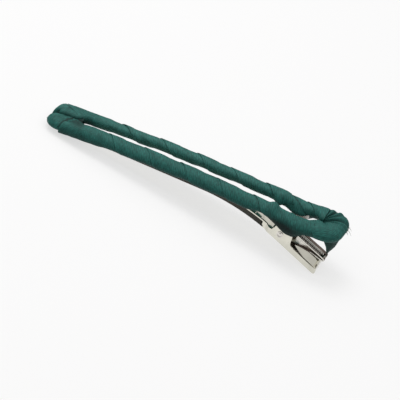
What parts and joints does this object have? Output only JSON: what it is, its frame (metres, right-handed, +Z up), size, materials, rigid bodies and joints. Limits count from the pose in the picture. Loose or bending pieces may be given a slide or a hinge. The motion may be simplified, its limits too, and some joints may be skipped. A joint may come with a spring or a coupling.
{
  "type": "duckbill hair clip",
  "caption": "Long slim sprung hair clip: a slotted loop frame wound with satin ribbon over a bare metal jaw with a thumb lever.",
  "frame": {"origin": "centre of the bounding box at its base, on the surface that the clip lies on", "axes": "+X along the clip from its tip to its tail and lever, +Y across it, +Z up as it lies on its jaw's tip and its lever's end"},
  "size_m": [0.075, 0.0134, 0.0135],
  "materials": {
    "ribbon": "dark teal satin ribbon with fine cross ribs",
    "frame_metal": "nickel plated sheet steel",
    "jaw_metal": "nickel plated sheet steel, bright, lightly worn",
    "spring_metal": "plated spring steel strip"
  },
  "bodies": {
    "frame": {"frame_plate": "frame_metal", "ribbon_far_rail": "ribbon", "ribbon_near_rail": "ribbon", "ribbon_tip": "ribbon", "ribbon_tail": "ribbon", "leaf_spring": "spring_metal"},
    "jaw": {"lower_jaw": "jaw_metal", "hinge_pin": "jaw_metal"}
  },
  "joints": [
    {"name": "jaw_hinge", "type": "hinge", "parent": "frame", "child": "jaw", "pos_m": [0.02437, -0.0001, 0.00494], "axis": [0, -1, 0], "range_deg": [0, 11], "stiffness_Nm_per_rad": 0.05, "deforming": ["leaf_spring"]}
  ]
}
